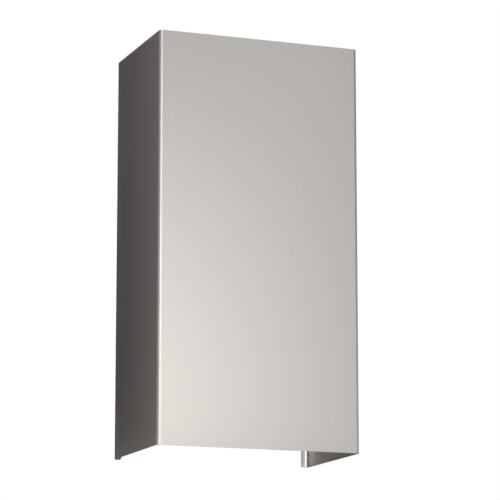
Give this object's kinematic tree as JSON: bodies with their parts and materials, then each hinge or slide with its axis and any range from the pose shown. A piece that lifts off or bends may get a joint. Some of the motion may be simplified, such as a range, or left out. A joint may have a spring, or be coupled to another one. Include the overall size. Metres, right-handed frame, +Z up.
{
  "type": "cooker hood chimney section",
  "caption": "Folded stainless channel that hides a cooker hood's duct: flat front and sides, open back, top and bottom, return lips along the rear edges.",
  "frame": {"origin": "in the plane of the bottom edge, under the middle of the section's box", "axes": "+Z up along the height, +Y towards the wall and the open back, +X to the right of someone facing the front"},
  "size_m": [0.256, 0.167, 0.5],
  "materials": {
    "stainless_sheet": "satin-brushed stainless sheet, fine grain along the height"
  },
  "bodies": {
    "root": {"chimney_section": "stainless_sheet"}
  },
  "joints": []
}
